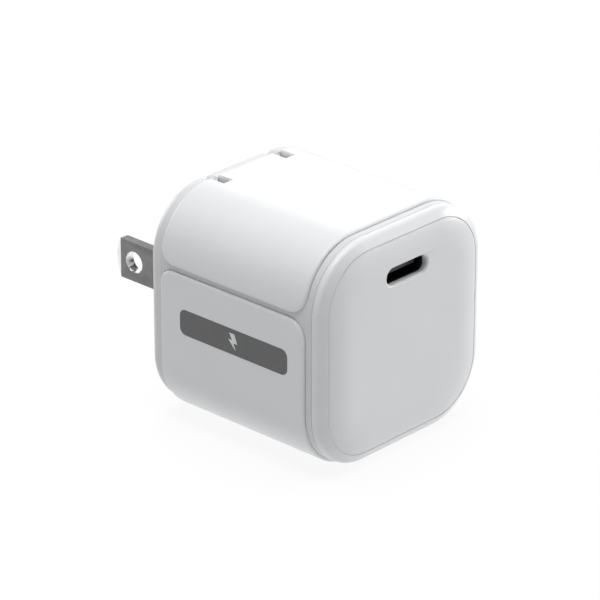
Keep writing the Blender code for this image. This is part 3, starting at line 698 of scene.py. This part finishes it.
class Look:
    """A procedural material around one Principled shader, in object coordinates in millimetres."""

    def __init__(self, name, metallic=0.0, **uniform):
        self.material = bpy.data.materials.new(name)
        self.material.use_nodes = True
        self.tree = self.material.node_tree
        self.shader = self.tree.nodes["Principled BSDF"]
        self.shader.inputs["Metallic"].default_value = metallic
        for key, value in uniform.items():
            self.shader.inputs[key.replace("_", " ")].default_value = value
        coordinates = self.tree.nodes.new("ShaderNodeTexCoord")
        scaled = self.tree.nodes.new("ShaderNodeVectorMath")
        scaled.operation = "SCALE"
        scaled.inputs["Scale"].default_value = 1 / MM
        self.link(coordinates.outputs["Object"], scaled.inputs[0])
        self.place = scaled.outputs[0]

    def link(self, source, target):
        self.tree.links.new(source, target)

    def stretched(self, factors):
        node = self.tree.nodes.new("ShaderNodeVectorMath")
        node.operation = "MULTIPLY"
        self.link(self.place, node.inputs[0])
        node.inputs[1].default_value = factors
        return node.outputs[0]

    def noise(self, scale, detail=3.0, roughness=0.55, place=None):
        node = self.tree.nodes.new("ShaderNodeTexNoise")
        node.inputs["Scale"].default_value = scale
        node.inputs["Detail"].default_value = detail
        node.inputs["Roughness"].default_value = roughness
        self.link(place or self.place, node.inputs["Vector"])
        return node.outputs["Fac"]

    def wave(self, scale, direction, distortion):
        node = self.tree.nodes.new("ShaderNodeTexWave")
        node.bands_direction = direction
        node.inputs["Scale"].default_value = scale
        node.inputs["Distortion"].default_value = distortion
        self.link(self.place, node.inputs["Vector"])
        return node.outputs["Fac"]

    def cell_edges(self, scale):
        node = self.tree.nodes.new("ShaderNodeTexVoronoi")
        node.feature = "DISTANCE_TO_EDGE"
        node.inputs["Scale"].default_value = scale
        self.link(self.place, node.inputs["Vector"])
        return node.outputs["Distance"]

    def span(self, fac, low, high, start=0.3, end=0.7):
        node = self.tree.nodes.new("ShaderNodeMapRange")
        node.inputs["From Min"].default_value = start
        node.inputs["From Max"].default_value = end
        node.inputs["To Min"].default_value = low
        node.inputs["To Max"].default_value = high
        self.link(fac, node.inputs["Value"])
        return node.outputs["Result"]

    def add(self, a, b):
        node = self.tree.nodes.new("ShaderNodeMath")
        node.operation = "ADD"
        self.link(a, node.inputs[0])
        self.link(b, node.inputs[1])
        return node.outputs[0]

    def colour(self, fac, *stops):
        node = self.tree.nodes.new("ShaderNodeValToRGB")
        ramp = node.color_ramp.elements
        while len(ramp) < len(stops):
            ramp.new(0.5)
        for element, (at, rgb) in zip(ramp, stops):
            element.position = at
            element.color = (*rgb, 1)
        self.link(fac, node.inputs["Fac"])
        self.link(node.outputs["Color"], self.shader.inputs["Base Color"])

    def roughness(self, value):
        self.link(value, self.shader.inputs["Roughness"])

    def bump(self, *layers):
        """Each layer is (height, depth in millimetres)."""
        normal = None
        for height, depth in layers:
            node = self.tree.nodes.new("ShaderNodeBump")
            node.inputs["Strength"].default_value = 1.0
            node.inputs["Distance"].default_value = depth * MM
            self.link(height, node.inputs["Height"])
            if normal:
                self.link(normal, node.inputs["Normal"])
            normal = node.outputs["Normal"]
        self.link(normal, self.shader.inputs["Normal"])


def shade(rgb, factor):
    return tuple(min(channel * factor, 1.0) for channel in rgb)


def moulded(name, rgb, rough, grain=0.0004, peel=0.0008, drift=0.012, **uniform):
    """Moulded plastic: faint tone drift, fine spark-eroded grain, slow surface waves, handling haze."""
    look = Look(name, **uniform)
    tone = look.noise(0.11, 2.0)
    look.colour(tone, (0.3, shade(rgb, 1 - drift)), (0.7, shade(rgb, 1 + drift)))
    haze = look.span(look.noise(0.25, 4.0), rough - 0.02, rough + 0.025, 0.15, 0.85)
    look.roughness(haze)
    look.bump((look.noise(0.5, 1.0), peel), (look.noise(11.0, 2.0), grain))
    return look.material


def brushed(name, rgb, rough, along):
    """Drawn or plated metal: streaks along the axis with the small factor, mottled tone."""
    look = Look(name, metallic=1.0)
    streak = look.noise(9.0, 4.0, 0.6, look.stretched(along))
    look.colour(look.noise(0.6, 4.0), (0.3, shade(rgb, 0.86)), (0.7, shade(rgb, 1.08)))
    handled = look.span(look.noise(1.3, 4.0), -0.03, 0.05)
    look.roughness(look.add(look.span(streak, rough - 0.05, rough + 0.08), handled))
    look.bump((streak, 0.0016), (look.noise(3.5, 3.0), 0.002))
    return look.material


def speckled(name, rgb, rough, scale, contrast, relief):
    """A filled or sintered material: grains of two tones with a little relief."""
    look = Look(name)
    grain = look.noise(scale, 5.0, 0.7)
    look.colour(grain, (0.32, shade(rgb, 1 - contrast)), (0.68, shade(rgb, 1 + contrast)))
    look.roughness(look.span(look.noise(scale / 3, 4.0), rough - 0.08, rough + 0.1))
    look.bump((grain, relief))
    return look.material


def wound(name, rgb, rough, direction, pitch):
    """Enamelled wire laid in turns along one axis."""
    look = Look(name, metallic=1.0)
    turns = look.wave(1 / pitch, direction, 0.15)
    look.colour(turns, (0.1, shade(rgb, 0.35)), (0.75, rgb))
    look.roughness(look.span(look.noise(2.0, 3.0), rough - 0.06, rough + 0.1))
    look.bump((turns, 0.06))
    return look.material


def board_look(name):
    """Green solder mask over raised copper areas."""
    look = Look(name)
    traces = look.cell_edges(0.9)
    look.colour(traces, (0.03, (0.05, 0.24, 0.10)), (0.07, (0.02, 0.12, 0.05)))
    look.roughness(look.span(look.noise(2.0, 4.0), 0.32, 0.5))
    look.bump((look.span(traces, 1.0, 0.0, 0.02, 0.08), 0.03), (look.noise(14.0, 2.0), 0.002))
    return look.material


def make_materials():
    return {
        "WHITE": moulded("gloss_white", (0.67, 0.678, 0.692), 0.30, IOR=1.5, Specular_IOR_Level=0.3),
        # Slot walls: the same white plastic made paler as painted light, with some real subsurface
        # scattering.
        "NOTCH_WHITE": moulded(
            "slot_white_painted_light", (0.93, 0.935, 0.945), 0.4, IOR=1.5, Specular_IOR_Level=0.3,
            Subsurface_Weight=0.55, Subsurface_Scale=0.004, Subsurface_Radius=(1, 1, 1),
        ),
        # Frame band and rear cover: the same white plastic, a little rougher, with a darker tone as painted
        # shade.
        "FRAME_WHITE": moulded("satin_white_painted_shade", (0.585, 0.593, 0.606), 0.33, IOR=1.5, Specular_IOR_Level=0.3),
        "CARRIER_PLASTIC": moulded("carrier_nylon", (0.72, 0.73, 0.74), 0.42, grain=0.004, drift=0.06),
        # Blade faces: nickel darkened far below its own tone, as a painted dark reflection of the
        # surroundings.
        "BLADE_METAL": brushed("nickel_plate_painted_dark_reflection", (0.20, 0.202, 0.20), 0.36, (1, 0.04, 1)),
        # Tip bevels and hole wall: smoother nickel, with a tone far brighter than the blade faces as a
        # painted reflection.
        "POLISHED_METAL": brushed("polished_nickel_painted_reflection", (0.86, 0.865, 0.86), 0.2, (1, 0.04, 1)),
        # Socket shell: near-black metal.
        "SOCKET_METAL": brushed("near_black_shell_metal", (0.06, 0.06, 0.065), 0.35, (1, 1, 0.05)),
        "SOCKET_PLASTIC": speckled("socket_moulding", (0.045, 0.045, 0.048), 0.5, 6.0, 0.3, 0.004),
        "CONTACT_GOLD": brushed("contact_gold", (0.85, 0.60, 0.25), 0.28, (1, 0.06, 1)),
        "PRINT_INK": speckled("pad_print_ink", (0.105, 0.107, 0.11), 0.5, 8.0, 0.22, 0.003),
        "bronze": brushed("phosphor_bronze_strip", (0.72, 0.45, 0.25), 0.35, (1, 1, 0.05)),
        "steel": brushed("spring_steel_strip", (0.60, 0.61, 0.62), 0.3, (1, 1, 0.05)),
        "black": speckled("moulding_compound", (0.02, 0.02, 0.022), 0.5, 5.0, 0.4, 0.01),
        "board": board_look("solder_mask"),
        "ferrite": speckled("sintered_ferrite", (0.055, 0.055, 0.06), 0.65, 4.0, 0.4, 0.02),
        "copper": wound("enamelled_wire", (0.70, 0.32, 0.14), 0.3, "Z", 0.9),
        "choke": wound("choke_wire", (0.70, 0.32, 0.14), 0.3, "X", 1.2),
        "film": moulded("yellow_polyester", (0.80, 0.60, 0.07), 0.3, drift=0.08),
        "pad": speckled("thermal_silicone", (0.42, 0.47, 0.53), 0.8, 2.5, 0.1, 0.02),
        "sleeve": moulded("shrink_sleeve", (0.03, 0.03, 0.05), 0.3, drift=0.25),
        "can": brushed("bare_aluminium_can", (0.75, 0.76, 0.77), 0.3, (1, 0.05, 1)),
        "blue": moulded("blue_epoxy_dip", (0.05, 0.18, 0.55), 0.3, peel=0.02, drift=0.15),
        "green": moulded("green_epoxy_dip", (0.07, 0.26, 0.11), 0.3, peel=0.02, drift=0.15),
        "ceramic": speckled("glazed_fuse_body", (0.72, 0.70, 0.62), 0.4, 2.0, 0.08, 0.004),
        "spreader": brushed("rolled_aluminium", (0.70, 0.71, 0.72), 0.33, (0.05, 1, 1)),
        "sheet": speckled("fish_paper", (0.03, 0.03, 0.03), 0.7, 3.0, 0.5, 0.01),
    }


CARRIED = {
    "bronze": ("left_contact_spring", "right_contact_spring"),
    "steel": ("detent_spring", "left_cap_screw", "right_cap_screw"),
    "black": (
        "board_header", "bridge_rectifier", "power_switch_chip", "optocoupler", "pd_controller_chip",
        "rectifier_transistor", "transformer_bobbin",
    ),
    "board": ("main_board", "usb_board"),
    "ferrite": ("transformer_core_lower", "transformer_core_upper", "choke_core"),
    "copper": ("transformer_winding",),
    "choke": ("choke_winding_upper", "choke_winding_lower"),
    "film": ("transformer_tape", "x_capacitor"),
    "pad": ("thermal_pad",),
    "sleeve": ("bulk_capacitor_front", "bulk_capacitor_rear"),
    "can": ("output_capacitor_left", "output_capacitor_right"),
    "blue": ("y_capacitor", "varistor"),
    "green": ("inrush_thermistor",),
    "ceramic": ("fuse",),
    "spreader": ("heat_spreader",),
    "sheet": ("insulation_sheet",),
    "CARRIER_PLASTIC": ("left_bearing_cap", "right_bearing_cap"),
}


def dress_carried(made):
    """Gives the CAD pieces that stay in the picture their materials."""
    for look, names in CARRIED.items():
        for name in names:
            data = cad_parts[name].data
            data.materials.clear()
            data.materials.append(made[look])


# ---------------------------------------------------------------- studio


def add_area(name, place, target, size, power):
    lamp = bpy.data.lights.new(name, "AREA")
    lamp.shape = "RECTANGLE"
    lamp.size, lamp.size_y = size
    lamp.energy = power
    obj = bpy.data.objects.new(name, lamp)
    obj.location = place
    obj.rotation_euler = (Vector(target) - Vector(place)).to_track_quat("-Z", "Y").to_euler()
    bpy.context.scene.collection.objects.link(obj)


def make_studio():
    floor_z = CAD_BOX[0][2]
    mesh = bmesh.new()
    bmesh.ops.create_grid(mesh, x_segments=8, y_segments=8, size=3.0)
    mesh.transform(Matrix.Translation((0, 0, floor_z - FLOOR_GAP * MM)))
    data = bpy.data.meshes.new("floor")
    mesh.to_mesh(data)
    mesh.free()
    floor = bpy.data.objects.new("floor", data)
    bpy.context.scene.collection.objects.link(floor)
    paper = Look("backdrop_paper")
    paper.colour(paper.noise(0.02, 2.0), (0.3, (0.075, 0.075, 0.075)), (0.7, (0.085, 0.085, 0.085)))
    paper.shader.inputs["Emission Color"].default_value = (1, 1, 1, 1)
    paper.shader.inputs["Emission Strength"].default_value = 0.89
    paper.shader.inputs["Roughness"].default_value = 0.9
    paper.shader.inputs["Specular IOR Level"].default_value = 0.1
    data.materials.append(paper.material)

    world = bpy.data.worlds.new("studio")
    bpy.context.scene.world = world
    world.use_nodes = True
    sky = world.node_tree.nodes["Background"]
    sky.inputs["Color"].default_value = (1, 1, 1, 1)
    sky.inputs["Strength"].default_value = 0.04
    for light in LIGHTS:
        add_area(*light)


def make_camera():
    level = math.cos(CAMERA_ELEVATION)
    back = Vector((
        math.sin(CAMERA_AZIMUTH) * level,
        -math.cos(CAMERA_AZIMUTH) * level,
        math.sin(CAMERA_ELEVATION),
    ))
    right = Vector((math.cos(CAMERA_AZIMUTH), math.sin(CAMERA_AZIMUTH), 0))
    up = back.cross(right)
    across = math.cos(CAMERA_ROLL) * right + math.sin(CAMERA_ROLL) * up
    upright = math.cos(CAMERA_ROLL) * up - math.sin(CAMERA_ROLL) * right
    centre = Vector((0, BODY_DEPTH / 2, MID_Z)) - ORIGIN
    place = centre + back * CAMERA_DISTANCE + across * CAMERA_SHIFT[0] + upright * CAMERA_SHIFT[1]
    data = bpy.data.cameras.new("camera")
    data.sensor_width = 36
    data.lens = CAMERA_LENS
    data.clip_start = 0.01
    data.clip_end = 20
    camera = bpy.data.objects.new("camera", data)
    turn = Matrix((across, upright, back)).transposed().to_4x4()
    camera.matrix_world = Matrix.Translation(place * MM) @ turn
    bpy.context.scene.collection.objects.link(camera)
    bpy.context.scene.camera = camera


# ---------------------------------------------------------------- assembly

MADE = make_materials()
WHITE = MADE["WHITE"]
FRAME_WHITE = MADE["FRAME_WHITE"]
NOTCH_WHITE = MADE["NOTCH_WHITE"]
CARRIER_PLASTIC = MADE["CARRIER_PLASTIC"]
BLADE_METAL = MADE["BLADE_METAL"]
POLISHED_METAL = MADE["POLISHED_METAL"]
SOCKET_METAL = MADE["SOCKET_METAL"]
SOCKET_PLASTIC = MADE["SOCKET_PLASTIC"]
CONTACT_GOLD = MADE["CONTACT_GOLD"]
PRINT_INK = MADE["PRINT_INK"]

make_camera()
make_studio()
make_front_panel()
make_front_bezel()
make_main_sleeve()
make_skins()
make_rear_cover()
make_blades()
make_carrier()
make_usb_socket()
make_mark()
dress_carried(MADE)
bpy.context.scene.view_settings.view_transform = "Standard"
